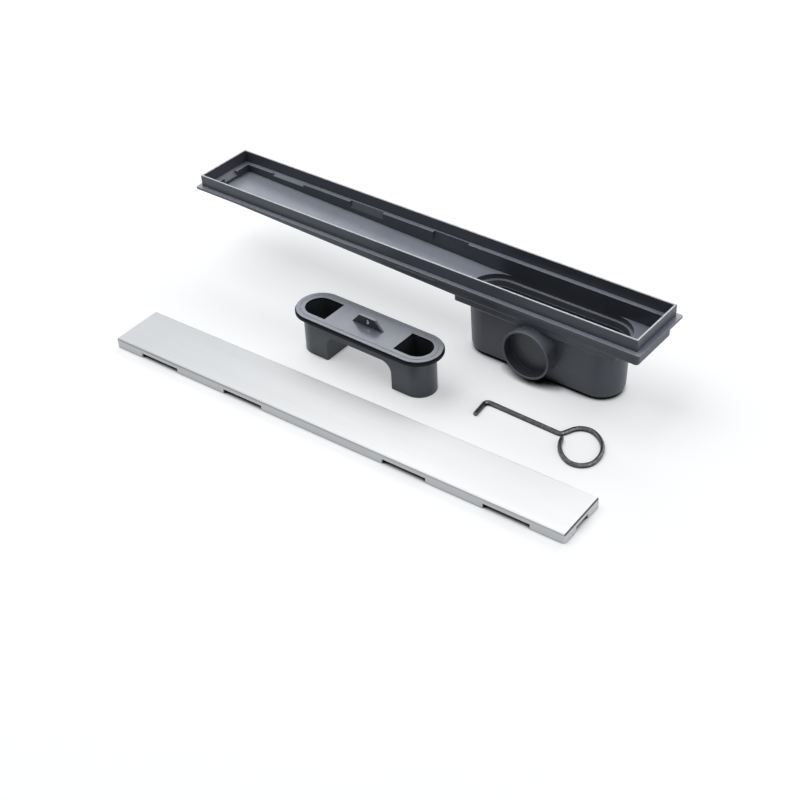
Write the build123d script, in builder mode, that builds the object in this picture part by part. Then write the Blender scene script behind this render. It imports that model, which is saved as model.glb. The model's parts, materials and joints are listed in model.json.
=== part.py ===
"""Linear shower floor drain, laid out beside each other as its separate pieces.

The channel stands on the bottom of its sump. The trap insert, the cover and the lifting hook lie on the
same floor in front of it. X runs along the channel, Y away from the viewer, Z up, all in millimetres.
The origin is on the floor, in the middle of the box around the whole set.
"""

from build123d import *
import os
from math import asin, atan, atan2, cos, degrees, radians, sin, sqrt

os.makedirs("parts", exist_ok=True)

# Cover: stainless sheet folded down on four sides
cover_length = 551.0
cover_width = 61.0
cover_height = 10.3
cover_sheet = 1.5
cover_bend = 2.2  # outside radius of the folds and of the upright corners
notch_length = 50.5
notch_height = 5.2
notch_pitch = 114.0  # between the two notches of a pair
notch_middle = 200.0  # between the two inner notches
end_notch_length = 21.0

# Channel: rim, flange and ledge
cover_gap = 4.0  # slot left open all round the cover
rim_wall = 2.0
rim_height = 13.5
rim_edge = 0.5  # rounding of the rim's top edges
channel_height = 100.0
flange_overhang = 5.0
flange_thick = 2.6
flange_corner = 1.5
ledge_width = 5.0
end_ledge_width = 7.5

# Channel: trough under the ledge
trough_wall = 2.2
end_wall = 8.4
trough_edge = 3.0  # rounding along the bottom of the trough
trough_corner = 4.0  # upright corners of the trough
floor_drop_shallow = 9.0  # ledge to floor at the shallow end
floor_drop_deep = 18.5  # ledge to floor beside the recess
ramp_length = 46.0
ramp_pitch = 114.0
ramp_count = 3
ramp_first = -211.0  # middle of the first ramp, from the middle of the channel
ramp_run = 3.5
ramp_drop = 3.0
ramp_deepening = 4.5  # each ramp drops further than the one before, as the floor falls
end_ramp_length = 20.0
end_ramp_run = 5.0
end_ramp_drop = 5.3

# Channel: recess, sump and outlet
drain_x = 160.0  # middle of the sump, from the middle of the channel
trap_centres = 127.4  # between the two end arcs of recess, sump and insert
recess_depth = 6.1
seat_width = 2.7
lead_width = 2.2  # cone under the seat, in which the seal wedges
lead_depth = 6.0
seat_thick = 1.0
step_wall = 1.6  # round the sides of the recess
step_corner = 4.0
sump_wall = 2.2
sump_floor = 2.4
sump_draft = 1.5
sump_edge = 8.0
pipe_diameter = 50.0
pipe_clearance = 0.1
socket_wall = 2.4
socket_length = 15.2
socket_edge = 0.5  # bevel of the collar's front edges
outlet_height = 35.4
outlet_depth = 12.0  # how far the pipe goes in, up to the weir
pipe_stop = 2.0  # shoulder that the pipe's end meets
weir_thick = 2.4
weir_rise = 15.1  # top of the weir above the middle of the outlet: it holds the trap's water

# Trap insert and its seal
plate_clearance = 4.1  # plate edge to the wall of the recess
plate_thick = 2.0
groove_inset = 4.2
groove_width = 0.6
groove_depth = 0.3
seal_proud = 1.2
seal_thick = 2.6
seal_clearance = 0.1
leg_clearance = 6.2  # leg to the wall of the sump
leg_wall = 2.4
bridge_length = 84.4  # between the inner faces of the legs
bridge_drop = 13.9  # skirt below the seal
arch_radius = 12.0
insert_height = 49.2
tab_base = 40.0
tab_top = 20.0
tab_height = 11.2
tab_thick = 2.2
tab_corner = 1.5
hook_play = 0.6  # wire in the hole of the tab

# Lifting hook
wire_diameter = 4.2
wire_edge = 0.5  # rounding of the cut ends
arm_length = 24.0
arm_angle = 82.0
shaft_length = 88.4
hook_bend = 4.5
ring_ahead = 26.2  # ring centre beyond the neck
ring_aside = 4.5
ring_turn = 122.0  # direction of the ring's long axis
ring_long = 27.6
ring_short = 20.3
ring_end_radius = 16.5
ring_stop = 12.0  # where the ring ends, along its long axis

# Layout: places of the loose pieces, from the middle of the channel
cover_dx = 42.5
cover_dy = -193.1
cover_turn = 1.87
insert_dx = 11.8
insert_dy = -105.2
hook_dx = 145.6
hook_dy = -88.2
hook_turn = -0.8

# Sizes that follow
rim_length = cover_length + 2 * (cover_gap + rim_wall)
rim_width = cover_width + 2 * (cover_gap + rim_wall)
flange_length = rim_length + 2 * flange_overhang
flange_width = rim_width + 2 * flange_overhang
trough_length = rim_length - 2 * (rim_wall + end_ledge_width)
trough_width = rim_width - 2 * (rim_wall + ledge_width)
ledge_z = channel_height - rim_height
shallow_z = ledge_z - floor_drop_shallow
deep_z = ledge_z - floor_drop_deep
seat_z = deep_z - recess_depth
recess_radius = trough_width / 2
recess_length = trap_centres + 2 * recess_radius
slope_end = drain_x - recess_length / 2
lead_radius = recess_radius - seat_width
lead_taper = degrees(atan(lead_width / lead_depth))
sump_radius = lead_radius - lead_width
sump_outer = sump_radius + sump_wall
bore_radius = pipe_diameter / 2 + pipe_clearance
passage_radius = bore_radius - pipe_stop
socket_front = sump_outer + socket_length
plate_radius = recess_radius - plate_clearance
seal_radius = plate_radius + seal_proud
leg_radius = sump_radius - leg_clearance
hole_radius = leg_radius - leg_wall
plate_under = insert_height - plate_thick
arch_height = plate_under - seal_thick - bridge_drop

# The set's box is centred on the origin
turn = radians(cover_turn)
cover_flat_x = cover_length / 2 - cover_bend
cover_flat_y = cover_width / 2 - cover_bend
cover_reach_x = cover_flat_x * cos(turn) + cover_flat_y * sin(turn) + cover_bend
cover_reach_y = cover_flat_x * sin(turn) + cover_flat_y * cos(turn) + cover_bend
set_left = min(-flange_length / 2, cover_dx - cover_reach_x)
set_right = max(flange_length / 2, cover_dx + cover_reach_x)
set_near = cover_dy - cover_reach_y
set_far = flange_width / 2
channel_x = -(set_left + set_right) / 2
channel_y = -(set_near + set_far) / 2

channel_floor = Plane((channel_x, channel_y, 0))
channel_side = Plane((channel_x, channel_y, 0), x_dir=(1, 0, 0), z_dir=(0, -1, 0))
channel_end = Plane((channel_x, channel_y, 0), x_dir=(0, 1, 0), z_dir=(1, 0, 0))
drain_floor = Plane((channel_x + drain_x, channel_y, 0))
insert_floor = Plane((channel_x + insert_dx, channel_y + insert_dy, 0))
insert_side = Plane(insert_floor.origin, x_dir=(1, 0, 0), z_dir=(0, -1, 0))
cover_floor = Plane(
    (channel_x + cover_dx, channel_y + cover_dy, 0),
    x_dir=(cos(turn), sin(turn), 0),
    z_dir=(0, 0, 1),
)
cover_side = Plane(cover_floor.origin, x_dir=cover_floor.x_dir, z_dir=-cover_floor.y_dir)
cover_end = Plane(cover_floor.origin, x_dir=cover_floor.y_dir, z_dir=cover_floor.x_dir)
hook_floor = Plane(
    (channel_x + hook_dx, channel_y + hook_dy, wire_diameter / 2),
    x_dir=(cos(radians(hook_turn)), sin(radians(hook_turn)), 0),
    z_dir=(0, 0, 1),
)

# Outside of the trough: a long box with a sloped bottom and rounded lower edges
outer_half = trough_length / 2 + end_wall
with BuildPart() as trough_shell:
    with BuildSketch(channel_side):
        with BuildLine():
            Polyline(
                (-outer_half, ledge_z),
                (-outer_half, shallow_z - trough_wall),
                (slope_end, deep_z - trough_wall),
                (outer_half, deep_z - trough_wall),
                (outer_half, ledge_z),
                close=True,
            )
        make_face()
    extrude(amount=trough_width / 2 + trough_wall, both=True)
    fillet(trough_shell.edges().filter_by(Axis.Z), trough_corner)
    under_faces = trough_shell.faces().filter_by(lambda face: face.normal_at().Z < -0.5)
    rounded = [edge for edge in under_faces.edges() if abs(edge.tangent_at(0.5).Y) < 0.9]
    fillet(rounded, trough_edge)

# Inside of the sump: a tapered tub with a rounded bottom
with BuildPart() as sump_cavity:
    with BuildSketch(drain_floor.offset(seat_z)):
        SlotCenterToCenter(trap_centres, 2 * sump_radius)
    extrude(amount=sump_floor - seat_z, taper=sump_draft)
    fillet(sump_cavity.faces().sort_by(Axis.Z)[0].edges(), sump_edge - sump_floor)
    # Cone that leads in from the seat
    with BuildSketch(drain_floor.offset(seat_z)):
        SlotCenterToCenter(trap_centres, 2 * lead_radius)
    extrude(amount=-lead_depth, taper=lead_taper)

# Channel body: one moulding
with BuildPart() as channel_body:
    # Sump tub, rounded along its bottom
    with BuildSketch(drain_floor.offset(seat_z)):
        SlotCenterToCenter(trap_centres, 2 * sump_outer)
    extrude(amount=-seat_z, taper=sump_draft)
    fillet(channel_body.faces().sort_by(Axis.Z)[0].edges(), sump_edge)
    # Flare of the sump's wall outside the seat's cone
    with BuildSketch(drain_floor.offset(seat_z)):
        SlotCenterToCenter(trap_centres, 2 * (lead_radius + sump_wall))
    extrude(amount=-lead_depth, taper=lead_taper)
    # Outlet socket on the near side
    socket_plane = Plane(
        (channel_x + drain_x, channel_y - socket_front, outlet_height),
        x_dir=(1, 0, 0),
        z_dir=(0, -1, 0),
    )
    with BuildSketch(socket_plane):
        Circle(bore_radius + socket_wall)
    extrude(amount=-(socket_front - sump_radius / 2))
    # Step block round the recess
    with BuildSketch(drain_floor.offset(seat_z - seat_thick)):
        RectangleRounded(recess_length + 2 * trough_wall, 2 * (recess_radius + step_wall), step_corner)
    extrude(amount=deep_z - seat_z + seat_thick)
    # Trough, then the flat plate that is the flange outside and the ledge inside
    add(trough_shell.part)
    with BuildSketch(channel_floor.offset(ledge_z - flange_thick)):
        RectangleRounded(flange_length, flange_width, flange_corner)
    extrude(amount=flange_thick)
    # Rim standing on the plate
    with BuildSketch(channel_floor.offset(ledge_z)):
        Rectangle(rim_length, rim_width)
        Rectangle(rim_length - 2 * rim_wall, rim_width - 2 * rim_wall, mode=Mode.SUBTRACT)
    extrude(amount=rim_height)
    fillet(channel_body.faces().sort_by(Axis.Z)[-1].edges(), rim_edge)
    # Trough inside, with its sloped floor
    inner_half = trough_length / 2
    with BuildSketch(channel_side):
        with BuildLine():
            Polyline(
                (-inner_half, ledge_z),
                (-inner_half, shallow_z),
                (slope_end, deep_z),
                (inner_half, deep_z),
                (inner_half, ledge_z),
                close=True,
            )
        make_face()
    extrude(amount=trough_width / 2, both=True, mode=Mode.SUBTRACT)
    # Recess with its seat, then the sump and the outlet bore
    with BuildSketch(drain_floor.offset(seat_z)):
        SlotCenterToCenter(trap_centres, 2 * recess_radius)
    extrude(amount=ledge_z - seat_z, mode=Mode.SUBTRACT)
    add(sump_cavity.part, mode=Mode.SUBTRACT)
    with BuildSketch(socket_plane):
        Circle(bore_radius)
    extrude(amount=-outlet_depth, mode=Mode.SUBTRACT)
    chamfer(channel_body.faces().sort_by(Axis.Y)[0].edges(), socket_edge)
    # Passage from the sump to the weir, and the way over its straight top edge
    weir_plane = socket_plane.offset(-outlet_depth)
    with BuildSketch(weir_plane.offset(-weir_thick)):
        Circle(passage_radius)
    extrude(amount=-(socket_front - outlet_depth - weir_thick - sump_radius / 2), mode=Mode.SUBTRACT)
    with BuildSketch(weir_plane):
        Circle(passage_radius)
        with Locations((0, weir_rise - 2 * bore_radius)):
            Rectangle(4 * bore_radius, 4 * bore_radius, mode=Mode.SUBTRACT)
    extrude(amount=-weir_thick, mode=Mode.SUBTRACT)
    # Ramps that drain the ledge, along both sides and at both ends
    wall_face = trough_width / 2 + trough_wall
    for ramp in range(ramp_count):
        ramp_start = ramp_first + ramp * ramp_pitch - ramp_length / 2
        ramp_foot = ledge_z - ramp_drop - ramp * ramp_deepening
        for side in (-1, 1):
            # Outside, the wall leans out with the ramp and so keeps its thickness
            with BuildSketch(channel_end.offset(ramp_start - trough_wall)):
                with BuildLine():
                    Polyline(
                        (side * wall_face, ramp_foot),
                        (side * (wall_face + ramp_run), ledge_z - flange_thick / 2),
                        (side * wall_face, ledge_z - flange_thick / 2),
                        close=True,
                    )
                make_face()
            extrude(amount=ramp_length + 2 * trough_wall)
            with BuildSketch(channel_end.offset(ramp_start)):
                with BuildLine():
                    Polyline(
                        (side * trough_width / 2, ramp_foot),
                        (side * (trough_width / 2 + ramp_run), ledge_z),
                        (side * trough_width / 2, ledge_z),
                        close=True,
                    )
                make_face()
            extrude(amount=ramp_length, mode=Mode.SUBTRACT)
    for side in (-1, 1):
        with BuildSketch(channel_side):
            with BuildLine():
                Polyline(
                    (side * inner_half, ledge_z - end_ramp_drop),
                    (side * (inner_half + end_ramp_run), ledge_z),
                    (side * inner_half, ledge_z),
                    close=True,
                )
            make_face()
        extrude(amount=end_ramp_length / 2, both=True, mode=Mode.SUBTRACT)

channel_body.part.label = "channel_body"
export_step(channel_body.part, "parts/channel_body.step")

# Trap insert: plate, skirt and two hollow legs in one moulding
with BuildPart() as trap_insert:
    with BuildSketch(insert_floor.offset(plate_under)):
        SlotCenterToCenter(trap_centres, 2 * plate_radius)
    extrude(amount=plate_thick)
    with BuildSketch(insert_floor):
        SlotCenterToCenter(trap_centres, 2 * leg_radius)
    extrude(amount=plate_under)
    # Arch between the legs, with rounded upper corners
    with BuildSketch(insert_side):
        with Locations((0, arch_height / 2)):
            Rectangle(bridge_length, arch_height)
        fillet(vertices().group_by(Axis.Y)[-1], arch_radius)
    extrude(amount=plate_radius, both=True, mode=Mode.SUBTRACT)
    # Hollow under the bridge, behind the skirt
    with BuildSketch(insert_floor):
        Rectangle(bridge_length, 2 * hole_radius)
    extrude(amount=plate_under, mode=Mode.SUBTRACT)
    # Two D-shaped holes down through the legs
    with BuildSketch(insert_floor):
        SlotCenterToCenter(trap_centres, 2 * hole_radius)
        Rectangle(bridge_length + 2 * leg_wall, 4 * hole_radius, mode=Mode.SUBTRACT)
    extrude(amount=insert_height, mode=Mode.SUBTRACT)
    # Fine groove round the plate
    with BuildSketch(insert_floor.offset(insert_height)):
        SlotCenterToCenter(trap_centres, 2 * (plate_radius - groove_inset))
        SlotCenterToCenter(trap_centres, 2 * (plate_radius - groove_inset - groove_width), mode=Mode.SUBTRACT)
    extrude(amount=-groove_depth, mode=Mode.SUBTRACT)
    # Lifting tab with its hole
    with BuildSketch(insert_side):
        with BuildLine():
            Polyline(
                (-tab_base / 2, insert_height),
                (-tab_top / 2, insert_height + tab_height),
                (tab_top / 2, insert_height + tab_height),
                (tab_base / 2, insert_height),
                close=True,
            )
        make_face()
        fillet(vertices().group_by(Axis.Y)[-1], tab_corner)
        with Locations((0, insert_height + tab_height / 2)):
            Circle((wire_diameter + hook_play) / 2, mode=Mode.SUBTRACT)
    extrude(amount=tab_thick / 2, both=True)

trap_insert.part.label = "trap_insert"
export_step(trap_insert.part, "parts/trap_insert.step")

# Trap seal: rubber ring round the skirt, against the underside of the plate
with BuildPart() as trap_seal:
    with BuildSketch(insert_floor.offset(plate_under - seal_thick)):
        SlotCenterToCenter(trap_centres, 2 * seal_radius)
        SlotCenterToCenter(trap_centres, 2 * (leg_radius + seal_clearance), mode=Mode.SUBTRACT)
    extrude(amount=seal_thick)

trap_seal.part.label = "trap_seal"
export_step(trap_seal.part, "parts/trap_seal.step")

# Cover: folded tray, open below, with notches in the lower edge of its skirt
with BuildPart() as cover_plate:
    with BuildSketch(cover_floor):
        RectangleRounded(cover_length, cover_width, cover_bend)
    extrude(amount=cover_height)
    fillet(cover_plate.faces().sort_by(Axis.Z)[-1].edges(), cover_bend - 0.01)
    offset(amount=-cover_sheet, openings=cover_plate.faces().sort_by(Axis.Z)[0])
    notch_inner = notch_middle / 2
    notch_outer = notch_inner + notch_pitch
    with BuildSketch(cover_side):
        with Locations(*[(x, 0) for x in (-notch_outer, -notch_inner, notch_inner, notch_outer)]):
            Rectangle(notch_length, 2 * notch_height)
    extrude(amount=cover_width, both=True, mode=Mode.SUBTRACT)
    with BuildSketch(cover_end):
        Rectangle(end_notch_length, 2 * notch_height)
    extrude(amount=cover_length, both=True, mode=Mode.SUBTRACT)

cover_plate.part.label = "cover_plate"
export_step(cover_plate.part, "parts/cover_plate.step")

# Lifting hook: one wire, bent to an arm at one end and to an open oval ring at the other
long_axis = Vector(cos(radians(ring_turn)), sin(radians(ring_turn)), 0)
short_axis = Vector(long_axis.Y, -long_axis.X, 0)
ring_centre = Vector(shaft_length + ring_ahead, -ring_aside, 0)
ring_side_radius = (ring_long**2 + ring_short**2 - 2 * ring_long * ring_end_radius) / (
    2 * (ring_short - ring_end_radius)
)
far_centre = ring_centre + long_axis * (ring_long - ring_end_radius)
near_centre = ring_centre - long_axis * (ring_long - ring_end_radius)
right_centre = ring_centre - short_axis * (ring_side_radius - ring_short)
left_centre = ring_centre + short_axis * (ring_side_radius - ring_short)


def direction(start, end):
    """Angle in degrees of the way from one point to another."""
    return degrees(atan2(end.Y - start.Y, end.X - start.X))


def clockwise(start, end):
    """Turn in degrees, negative, that leads clockwise from one angle to another."""
    return -((start - end) % 360)


tip = Vector(cos(radians(arm_angle)), -sin(radians(arm_angle)), 0) * arm_length
neck = Vector(shaft_length, 0, 0)
neck_to_far = far_centre - neck
leave_angle = direction(neck, far_centre) + degrees(asin(ring_end_radius / neck_to_far.length))
leave_run = sqrt(neck_to_far.length**2 - ring_end_radius**2)
meet = neck + Vector(cos(radians(leave_angle)), sin(radians(leave_angle)), 0) * leave_run
stop_across = ring_side_radius - ring_short - sqrt(ring_side_radius**2 - ring_stop**2)
ring_tip = ring_centre + long_axis * ring_stop + short_axis * stop_across
far_start = direction(far_centre, meet)
far_end = direction(right_centre, far_centre)
near_start = direction(right_centre, near_centre)
near_end = direction(left_centre, near_centre)
left_end = direction(left_centre, ring_tip)

with BuildLine() as wire_path:
    FilletPolyline(tip, (0, 0), neck, meet, radius=hook_bend)
    CenterArc(far_centre, ring_end_radius, far_start, clockwise(far_start, far_end))
    CenterArc(right_centre, ring_side_radius, far_end, clockwise(far_end, near_start))
    CenterArc(near_centre, ring_end_radius, near_start, clockwise(near_start, near_end))
    CenterArc(left_centre, ring_side_radius, near_end, clockwise(near_end, left_end))
wire_line = hook_floor.location * wire_path.line

with BuildPart() as lifting_hook:
    for span in wire_line.edges():
        with BuildSketch(Plane(span @ 0, z_dir=span % 0)):
            Circle(wire_diameter / 2)
        if span.geom_type == GeomType.LINE:
            extrude(amount=span.length)
        else:
            spoke = span @ 0 - span.arc_center
            swing = Axis(span.arc_center, spoke.cross(span % 0))
            revolve(axis=swing, revolution_arc=degrees(span.length / span.radius))
    fillet(lifting_hook.faces().filter_by(GeomType.PLANE).edges(), wire_edge)

lifting_hook.part.label = "lifting_hook"
export_step(lifting_hook.part, "parts/lifting_hook.step")
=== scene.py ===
import json
from math import pi, radians

import bpy
from mathutils import Matrix, Vector

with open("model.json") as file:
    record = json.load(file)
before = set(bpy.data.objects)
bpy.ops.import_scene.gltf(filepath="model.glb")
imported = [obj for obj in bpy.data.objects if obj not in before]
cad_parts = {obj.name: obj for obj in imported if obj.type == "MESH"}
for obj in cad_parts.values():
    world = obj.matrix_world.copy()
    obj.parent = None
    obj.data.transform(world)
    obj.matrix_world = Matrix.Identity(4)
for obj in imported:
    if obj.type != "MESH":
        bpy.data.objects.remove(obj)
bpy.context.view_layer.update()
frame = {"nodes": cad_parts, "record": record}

# Channel body: the long trough that is set into the floor, with its rim, flange, sump and socket.
# One injection moulding in slate-grey ABS. The tool leaves a fine spark-eroded grain on every face,
# the melt leaves faint clouds along its flow, and handling rubs the thin edges a little paler.
# Its colours also carry painted light: a painted sheen on flats that look up, a painted highlight on
# upward edges and all along the rim top, and painted shade in hollows, underneath and inside the socket.
channel_side = (0.049, 0.054, 0.066, 1)
# The flat colour is a painted sheen, laid on faces that look up.
channel_flat_painted_sheen = (0.284, 0.303, 0.356, 1)
# The rubbed colour is partly wear and partly a painted highlight on edges that look up.
channel_rubbed_and_highlight = (0.560, 0.580, 0.610, 1)
channel_gloss = (0.34, 0.42)
channel_shine = 0.65
# These two set the painted shade in deep corners and on undersides.
channel_shade_range = (0.10, 0.55)
channel_underside_shade = 0.7
channel_grain = 0.10
# The height band along the rim top that gets the rubbed colour as a painted highlight.
rim_painted_highlight = (0.0988, 0.0996)
outlet = next(mount for mount in frame["record"]["mounts"] if mount["name"] == "outlet")


def node(tree, kind, **settings):
    """Adds one node, with its properties and the values or links of its inputs."""
    made = tree.nodes.new(kind)
    for name, value in settings.items():
        if hasattr(made, name):
            setattr(made, name, value)
    for name, value in settings.items():
        if hasattr(made, name):
            continue
        socket = made.inputs[int(name[1:])] if name[0] == "_" else made.inputs[name.replace("_", " ")]
        if isinstance(value, bpy.types.NodeSocket):
            tree.links.new(value, socket)
        else:
            socket.default_value = value
    return made


def finish_of(name):
    """A new material with an empty tree, its surface shader and its object coordinates."""
    finish = bpy.data.materials.new(name)
    finish.use_nodes = True
    tree = finish.node_tree
    tree.nodes.clear()
    shader = node(tree, "ShaderNodeBsdfPrincipled")
    output = node(tree, "ShaderNodeOutputMaterial")
    tree.links.new(shader.outputs["BSDF"], output.inputs["Surface"])
    place = node(tree, "ShaderNodeTexCoord").outputs["Object"]
    return finish, tree, shader, place


def mixed(tree, factor, first, second):
    """A colour between two colours, each given as a value or a link."""
    blend = node(tree, "ShaderNodeMix", data_type="RGBA", _0=factor, _6=first, _7=second)
    return blend.outputs[2]


def ranged(tree, value, low, high, to_low, to_high):
    """A number moved from one range to another and held inside it."""
    moved = node(tree, "ShaderNodeMapRange", clamp=True, _0=value, _1=low, _2=high, _3=to_low, _4=to_high)
    return moved.outputs[0]


def worked(tree, operation, first, second=0.0, clamped=False):
    """A number worked out from one or two others."""
    return node(tree, "ShaderNodeMath", operation=operation, use_clamp=clamped, _0=first, _1=second).outputs[0]


def measured(tree, operation, first, second=(0, 0, 0)):
    """The node that works on one or two points or directions."""
    return node(tree, "ShaderNodeVectorMath", operation=operation, _0=first, _1=second)


def parted(tree, direction):
    """The X, Y and Z of a point or direction."""
    return node(tree, "ShaderNodeSeparateXYZ", Vector=direction).outputs


def facing_of(tree):
    """Which way the surface faces, as X, Y and Z."""
    return parted(tree, node(tree, "ShaderNodeNewGeometry").outputs["Normal"])


def noise(tree, place, scale, detail, roughness):
    """A random pattern through the material, as a number between nought and one."""
    return node(tree, "ShaderNodeTexNoise", Vector=place, Scale=scale, Detail=detail,
                Roughness=roughness).outputs[0]


noise_span = (0.3, 0.7)


def varied(tree, pattern, low, high):
    """A number that wanders between two values as a noise does."""
    return ranged(tree, pattern, *noise_span, low, high)


def rubbed_and_highlit_edges(tree, radius, first, full):
    """One along outer edges and nought on open faces, with the normal that rounds them."""
    rounded = node(tree, "ShaderNodeBevel", samples=6, Radius=radius).outputs[0]
    plain = node(tree, "ShaderNodeNewGeometry").outputs["Normal"]
    turn = measured(tree, "DOT_PRODUCT", rounded, plain).outputs["Value"]
    return ranged(tree, turn, first, full, 0, 1), rounded


def raised(tree, shader, pattern, strength, height, normal=None):
    """Lets a pattern stand up from the surface as a fine bump."""
    bump = node(tree, "ShaderNodeBump", Strength=strength, Distance=height, Height=pattern)
    if normal is not None:
        tree.links.new(normal, bump.inputs["Normal"])
    tree.links.new(bump.outputs[0], shader.inputs["Normal"])


mould_sheen = (0.86, 0.91, 1.0, 1)
flow_scale, cloud_depth = 18, 0.09
speck_scale, speck_depth = 240, 0.06
hand_scale = 46
grain_scale, grain_height = 2100, 0.0002
painted_sheen_facing, painted_sheen_most = (0.35, 0.95), 0.94
side_mottle = 0.3
edge_radius, edge_turn = 0.0005, (0.995, 0.86)
upward_edge_facing, worn_specks, worn_least = (0.1, 0.6), (0.3, 0.6), 0.45
rim_highlight_most = 0.9
# The near-black of the painted shade, also used on the plate's edge and in the socket.
painted_shade_dark = (0.004, 0.0045, 0.005, 1)
shade_reach, shade_least = 0.03, 0.1
under_shade_facing = (-0.4, -0.1)
lip_soft, lip_facing = 0.0001, (0.2, 0.5)
bore_soft, bore_depth = (0.0004, 0.0008), (0.015, 0.020)
bore_facing, bore_shade = (-0.6, -0.2), (0.25, 0.8)


def moulded_plastic(name, side, flat_painted_sheen, rubbed_and_highlight, gloss, shine, shade_range, underside_shade, grain,
                    rim_highlight_band=None, lip=None, bore=None):
    """Grained plastic: a painted sheen on flats that look up, dark sides, edges rubbed and painted lighter,
    painted shade in hollows, and a gloss that varies with handling.
    """
    finish, tree, shader, place = finish_of(name)
    spot = parted(tree, place)
    facing = facing_of(tree)

    # Flats that look up get a painted sheen that makes them paler than the sides, and show more of the clouds
    # and specks.
    painted_sheen_upward = ranged(tree, facing["Z"], *painted_sheen_facing, 0, painted_sheen_most)
    cloud = varied(tree, noise(tree, place, flow_scale, 4, 0.55), -cloud_depth, cloud_depth)
    speck = noise(tree, place, speck_scale, 3, 0.6)
    mottle = worked(tree, "ADD", cloud, varied(tree, speck, -speck_depth, speck_depth))
    mottle = worked(tree, "MULTIPLY", mottle, ranged(tree, painted_sheen_upward, 0, 1, side_mottle, 1))
    painted_sheen_and_mottle = worked(tree, "ADD", painted_sheen_upward, mottle, clamped=True)

    # Wear and a painted highlight show on edges that look up, and a painted highlight runs all along the top
    # of a rim.
    worn_and_highlit, rounded = rubbed_and_highlit_edges(tree, edge_radius, *edge_turn)
    if rim_highlight_band:
        worn_and_highlit = worked(tree, "MAXIMUM", worn_and_highlit, ranged(tree, spot["Z"], *rim_highlight_band, 0, rim_highlight_most))
    upward_edges = ranged(tree, parted(tree, rounded)["Z"], *upward_edge_facing, 0, 1)
    patchy = ranged(tree, speck, *worn_specks, worn_least, 1)
    wear_and_highlight = worked(tree, "MULTIPLY", worked(tree, "MULTIPLY", worn_and_highlit, upward_edges), patchy)
    colour = mixed(tree, wear_and_highlight, mixed(tree, painted_sheen_and_mottle, side, flat_painted_sheen), rubbed_and_highlight)

    # Painted shade: deep corners go dark, undersides less so.
    depth = node(tree, "ShaderNodeAmbientOcclusion", samples=6, Distance=shade_reach).outputs["AO"]
    open_air = ranged(tree, depth, *shade_range, shade_least, 1)
    under = ranged(tree, facing["Z"], *under_shade_facing, underside_shade, 0)
    colour = mixed(tree, worked(tree, "MAXIMUM", open_air, under), painted_shade_dark, colour)

    # The upright edge of a plate just above its seal is painted in the same near-black as the painted shade.
    if lip:
        above = ranged(tree, spot["Z"], lip[0] - lip_soft, lip[0], 0, 1)
        below = ranged(tree, spot["Z"], lip[1], lip[1] + lip_soft, 1, 0)
        upright = ranged(tree, facing["Z"], *lip_facing, 1, 0)
        lapped = worked(tree, "MULTIPLY", worked(tree, "MULTIPLY", above, below), upright)
        colour = mixed(tree, lapped, colour, painted_shade_dark)

    # Painted shade also darkens the inside of a pipe socket, its wall more than its closed end.
    if bore:
        middle, radius = Vector(bore["pos_m"]), bore["dims"]["r_mm"] / 1000
        offset = measured(tree, "SUBTRACT", place, middle).outputs[0]
        across = measured(tree, "MULTIPLY", offset, (1, 0, 1)).outputs[0]
        spread = measured(tree, "LENGTH", across).outputs["Value"]
        inside = ranged(tree, spread, radius + bore_soft[0], radius + bore_soft[1], 1, 0)
        front = ranged(tree, spot["Y"], middle.y + bore_depth[0], middle.y + bore_depth[1], 1, 0)
        wall = ranged(tree, facing["Y"], *bore_facing, *bore_shade)
        shaded = worked(tree, "MULTIPLY", worked(tree, "MULTIPLY", inside, front), wall)
        colour = mixed(tree, shaded, colour, painted_shade_dark)

    tree.links.new(colour, shader.inputs["Base Color"])
    handled = noise(tree, place, hand_scale, 5, 0.6)
    tree.links.new(varied(tree, handled, *gloss), shader.inputs["Roughness"])
    shader.inputs["Specular Tint"].default_value = mould_sheen
    shader.inputs["Specular IOR Level"].default_value = shine
    raised(tree, shader, noise(tree, place, grain_scale, 2, 0.5), grain, grain_height, rounded)
    return finish


def dress(name, finish):
    """Gives a solid of the frame its finish."""
    for slot in frame["nodes"][name].material_slots:
        slot.material = finish


dress("channel_body", moulded_plastic("slate moulding", channel_side, channel_flat_painted_sheen, channel_rubbed_and_highlight,
                                      channel_gloss, channel_shine, channel_shade_range, channel_underside_shade,
                                      channel_grain, rim_highlight_band=rim_painted_highlight, bore=outlet))

# Trap insert: the lift-out bell of the water trap, a plate with two inlets, two open legs and a grip.
# It is moulded in the same slate ABS as the channel, in a smaller tool with a finer grain, and hangs
# in the recess by its plate, held only by its own weight and the seal. Like the channel, it carries a painted
# sheen on its flats, painted highlights on upward edges and painted shade in its hollows and under its plate.
insert_side = (0.029, 0.033, 0.040, 1)
# The flat colour is a painted sheen, laid on faces that look up.
insert_flat_painted_sheen = (0.164, 0.174, 0.206, 1)
# The rubbed colour is partly wear and partly a painted highlight on edges that look up.
insert_rubbed_and_highlight = (0.480, 0.500, 0.530, 1)
insert_gloss = (0.27, 0.33)
insert_shine = 0.75
# These two set the painted shade in deep corners and on undersides.
insert_shade_range = (0.42, 0.68)
insert_underside_shade = 0.1
insert_grain = 0.04
plate_lip = (0.0471, 0.0488)
dress("trap_insert", moulded_plastic("insert moulding", insert_side, insert_flat_painted_sheen, insert_rubbed_and_highlight,
                                     insert_gloss, insert_shine, insert_shade_range, insert_underside_shade,
                                     insert_grain, lip=plate_lip))

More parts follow.
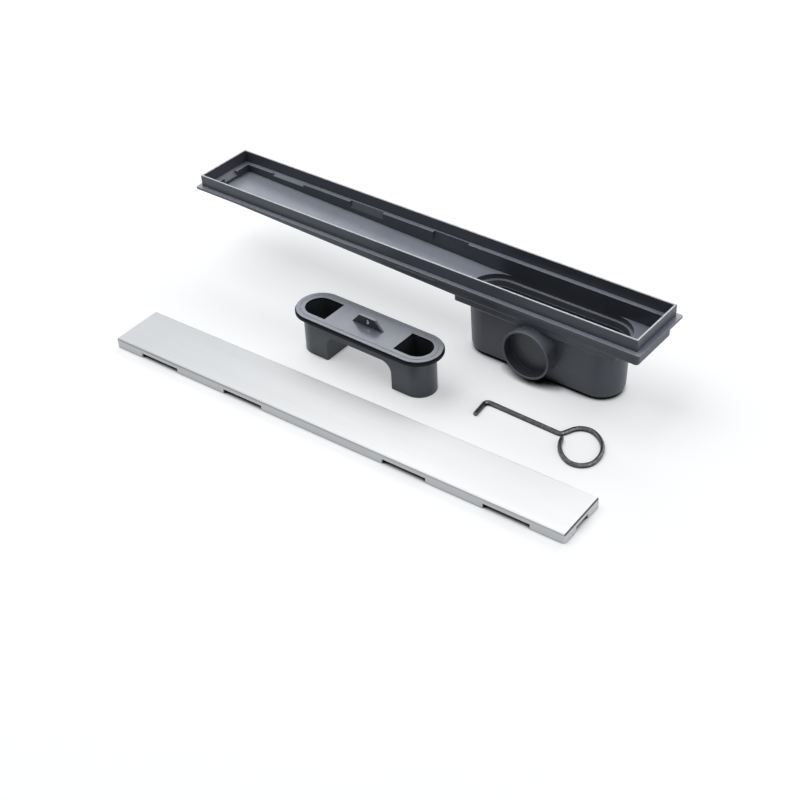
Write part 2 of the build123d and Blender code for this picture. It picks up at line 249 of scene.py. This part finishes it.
# Trap seal: the flat ring under the insert's plate that shuts the recess against air from the drain.
# It is moulded black rubber, matt with a faint bloom, and is stretched on to the insert by hand.
seal_black = (0.003, 0.003, 0.004, 1)
seal_bloom = (0.010, 0.011, 0.012, 1)
seal_matt = (0.5, 0.68)
seal_shine = 0.2
bloom_scale, bloom_span = 120, (0.4, 0.7)
pore_scale, pore_strength, pore_height = 1500, 0.15, 0.0002
seal_finish, tree, shader, place = finish_of("black rubber")
bloom = noise(tree, place, bloom_scale, 5, 0.65)
bloomed = ranged(tree, bloom, *bloom_span, 0, 1)
tree.links.new(mixed(tree, bloomed, seal_black, seal_bloom), shader.inputs["Base Color"])
tree.links.new(varied(tree, bloom, *seal_matt), shader.inputs["Roughness"])
raised(tree, shader, noise(tree, place, pore_scale, 2, 0.5), pore_strength, pore_height)
shader.inputs["Specular IOR Level"].default_value = seal_shine
dress("trap_seal", seal_finish)

# Cover plate: the shallow tray that lies in the rim and shows as a plain band in the tiled floor.
# It is folded from stainless sheet with its skirt notched for the water, and brushed along its length.
# Its top, not its skirt, is painted a little brighter towards one end as painted light, and its bends carry a
# painted dark line.
cover_turn = radians(1.87)
# The top's two tones are painted light: dull at one end, bright at the other.
cover_painted_bright = (0.768, 0.776, 0.784, 1)
cover_painted_dull = (0.565, 0.579, 0.594, 1)
cover_skirt = (0.550, 0.558, 0.568, 1)
cover_matt = (0.69, 0.74)
painted_light_ends, painted_light_range = (-0.22, 0.13), (0.1, 0.9)
streak_depth = 0.06
stroke_scale, stroke_strength, stroke_height = (9, 1400, 1400), 0.06, 0.0001
sweep_scale = (2.5, 60, 60)
# Painted shade: a dark line along the bends where the top turns down.
fold_painted_shade = (0.12, 0.123, 0.126, 1)
fold_slope = (0.15, 0.40)
end_fold, end_most = (0.30, 0.55), 1
side_fold, side_most = (0.45, 0.70), 0.5
skirt_facing = (0.10, 0.50)
cover_finish, tree, shader, place = finish_of("brushed stainless")
along = node(tree, "ShaderNodeMapping", vector_type="TEXTURE", Vector=place,
             Rotation=(0, 0, cover_turn)).outputs[0]
stroke = node(tree, "ShaderNodeMapping", Vector=along, Scale=stroke_scale).outputs[0]
lines = noise(tree, stroke, 1, 3, 0.6)
sweep = node(tree, "ShaderNodeMapping", Vector=along, Scale=sweep_scale).outputs[0]
bands = noise(tree, sweep, 1, 3, 0.5)
# Painted light: the top brightens along its length.
painted_light_drift = ranged(tree, parted(tree, along)["X"], *painted_light_ends, *painted_light_range)
streak = varied(tree, lines, -streak_depth, streak_depth)
shade = worked(tree, "ADD", painted_light_drift, streak, clamped=True)
facing = facing_of(tree)
# The bends at the ends and sides get the painted dark line.
endwise = ranged(tree, worked(tree, "ABSOLUTE", facing["X"]), *end_fold, 0, end_most)
sidewise = ranged(tree, worked(tree, "ABSOLUTE", facing["Y"]), *side_fold, 0, side_most)
sloping = ranged(tree, facing["Z"], *fold_slope, 0, 1)
painted_fold_line = worked(tree, "MULTIPLY", worked(tree, "MAXIMUM", endwise, sidewise), sloping)
upright = ranged(tree, facing["Z"], *skirt_facing, 1, 0)
sheet = mixed(tree, upright, mixed(tree, shade, cover_painted_dull, cover_painted_bright), cover_skirt)
tree.links.new(mixed(tree, painted_fold_line, sheet, fold_painted_shade), shader.inputs["Base Color"])
tree.links.new(varied(tree, bands, *cover_matt), shader.inputs["Roughness"])
raised(tree, shader, lines, stroke_strength, stroke_height)
shader.inputs["Metallic"].default_value = 1
dress("cover_plate", cover_finish)

# Lifting hook: the bent wire that goes through the grip and draws the insert out for cleaning.
# It is cold-drawn steel wire with a dark oxide finish, its ring left open at the end.
hook_dark = (0.105, 0.108, 0.111, 1)
hook_bare = (0.240, 0.243, 0.248, 1)
hook_gloss = (0.26, 0.38)
hook_metal = 0.9
drawn_scale, bare_span = 320, (0.45, 0.75)
pit_strength, pit_height = 0.08, 0.0002
hook_finish, tree, shader, place = finish_of("oxide steel wire")
drawn = noise(tree, place, drawn_scale, 5, 0.65)
bared = ranged(tree, drawn, *bare_span, 0, 1)
tree.links.new(mixed(tree, bared, hook_dark, hook_bare), shader.inputs["Base Color"])
tree.links.new(varied(tree, drawn, *hook_gloss), shader.inputs["Roughness"])
raised(tree, shader, drawn, pit_strength, pit_height)
shader.inputs["Metallic"].default_value = hook_metal
dress("lifting_hook", hook_finish)

# Studio floor: a plain board that carries all the pieces and keeps their soft shadows.
# It is matt white. The camera and the glossy pieces see it lifted a little towards white, and far out
# it fades into the white of the room. Near and under the pieces, where it is covered, it is painted dark as a
# painted contact shadow.
floor_half = 6.0
floor_drop = 0.0004
floor_white = (0.625, 0.640, 0.652, 1)
# The near-black of the painted contact shadow on the floor.
floor_painted_shadow = (0.01, 0.01, 0.011, 1)
floor_bounce = (0.50, 0.505, 0.51, 1)
floor_lift = 0.43
floor_tint = (0.99, 1.0, 1.01, 1)
floor_reach, painted_shadow_range = 0.025, (0.32, 0.62)
floor_fade = (0.8, 1.8)
room_white = (1, 1, 1, 1)
bpy.ops.object.select_all(action="DESELECT")
bpy.ops.mesh.primitive_plane_add(size=2 * floor_half, location=(0, 0, 0))
floor = bpy.context.object
floor.name = "studio_floor"
bpy.ops.object.mode_set(mode="EDIT")
bpy.ops.transform.translate(value=(0, 0, -floor_drop))
bpy.ops.object.mode_set(mode="OBJECT")


def seen_straight(tree):
    """One for the camera, mirrored and see-through rays, and nought for the light that falls on things."""
    rays = node(tree, "ShaderNodeLightPath").outputs
    mirrored = worked(tree, "MAXIMUM", rays["Is Glossy Ray"], rays["Is Transmission Ray"])
    return worked(tree, "MAXIMUM", rays["Is Camera Ray"], mirrored)


floor_finish = bpy.data.materials.new("matt white board")
floor_finish.use_nodes = True
tree = floor_finish.node_tree
tree.nodes.clear()
# Where occlusion finds the floor covered, its colour and its lift go down to near black: a painted contact
# shadow.
covered = node(tree, "ShaderNodeAmbientOcclusion", samples=16, Distance=floor_reach).outputs["AO"]
unshadowed_floor = ranged(tree, covered, *painted_shadow_range, 0, 1)
matt = node(tree, "ShaderNodeBsdfDiffuse", Color=mixed(tree, unshadowed_floor, floor_painted_shadow, floor_white))
open_lift = ranged(tree, unshadowed_floor, 0, 1, 0, floor_lift)
glow = node(tree, "ShaderNodeEmission", Color=floor_tint, Strength=open_lift)
lifted = node(tree, "ShaderNodeAddShader", _0=matt.outputs[0], _1=glow.outputs[0])
white = node(tree, "ShaderNodeEmission", Color=room_white, Strength=1.0)
away = measured(tree, "LENGTH", node(tree, "ShaderNodeTexCoord").outputs["Object"]).outputs["Value"]
faded = node(tree, "ShaderNodeMixShader", _0=ranged(tree, away, *floor_fade, 0, 1),
             _1=lifted.outputs[0], _2=white.outputs[0])
bounce = node(tree, "ShaderNodeBsdfDiffuse", Color=floor_bounce)
board = node(tree, "ShaderNodeMixShader", _0=seen_straight(tree), _1=bounce.outputs[0], _2=faded.outputs[0])
output = node(tree, "ShaderNodeOutputMaterial")
tree.links.new(board.outputs[0], output.inputs["Surface"])
floor.data.materials.append(floor_finish)

# Studio light: a wide soft box behind, which the flat tops mirror, a square one above on the left that
# nothing mirrors, and a small one low on the right for the upright faces. The room is a dim even grey,
# seen as white.
aim = Vector((0.0, -0.03, 0.03))
room_light = 0.20


def soft_box(name, towards, distance, wide, high, radiance):
    """A rectangular lamp that faces the object, with the brightness that its face shows."""
    bpy.ops.object.select_all(action="DESELECT")
    bpy.ops.object.light_add(type="AREA", location=aim + Vector(towards).normalized() * distance)
    lamp = bpy.context.object
    lamp.name = name
    lamp.rotation_euler = (-Vector(towards)).to_track_quat("-Z", "Y").to_euler()
    lamp.data.shape = "RECTANGLE"
    lamp.data.size = wide
    lamp.data.size_y = high
    lamp.data.energy = radiance * wide * high * pi
    return lamp


soft_box("back_soft_box", (-0.200, 0.780, 0.588), distance=4.0, wide=4.6, high=2.1, radiance=2.6)
left_box = soft_box("left_soft_box", (-0.48, -0.08, 0.87), distance=4.0, wide=3.6, high=3.6, radiance=2.5)
left_box.visible_glossy = False
soft_box("right_soft_box", (0.90, -0.10, 0.42), distance=3.0, wide=2.0, high=1.6, radiance=2.2)

room = bpy.data.worlds.new("pale room")
room.use_nodes = True
tree = room.node_tree
tree.nodes.clear()
room_shown = ranged(tree, seen_straight(tree), 0, 1, room_light, 1.0)
sky = node(tree, "ShaderNodeBackground", Color=room_white, Strength=room_shown)
output = node(tree, "ShaderNodeOutputWorld")
tree.links.new(sky.outputs[0], output.inputs["Surface"])
bpy.context.scene.world = room

# Camera: the photograph's standpoint, above and to the right of the laid-out pieces.
# Its place, turn and lens were worked out from the corners of the channel and the cover.
camera_place = (0.782376, -0.914736, 0.883222)
camera_turn, camera_tilt, camera_roll = radians(39.6415), radians(90 - 37.8223), radians(-2.9305)
camera_lens, camera_film = 64.756, 36
bpy.ops.object.camera_add()
camera = bpy.context.object
camera.data.lens = camera_lens
camera.data.sensor_width = camera_film
camera.matrix_world = (Matrix.Translation(camera_place) @ Matrix.Rotation(camera_turn, 4, "Z")
                       @ Matrix.Rotation(camera_tilt, 4, "X") @ Matrix.Rotation(camera_roll, 4, "Z"))
bpy.context.scene.camera = camera
bpy.context.scene.view_settings.view_transform = "Standard"
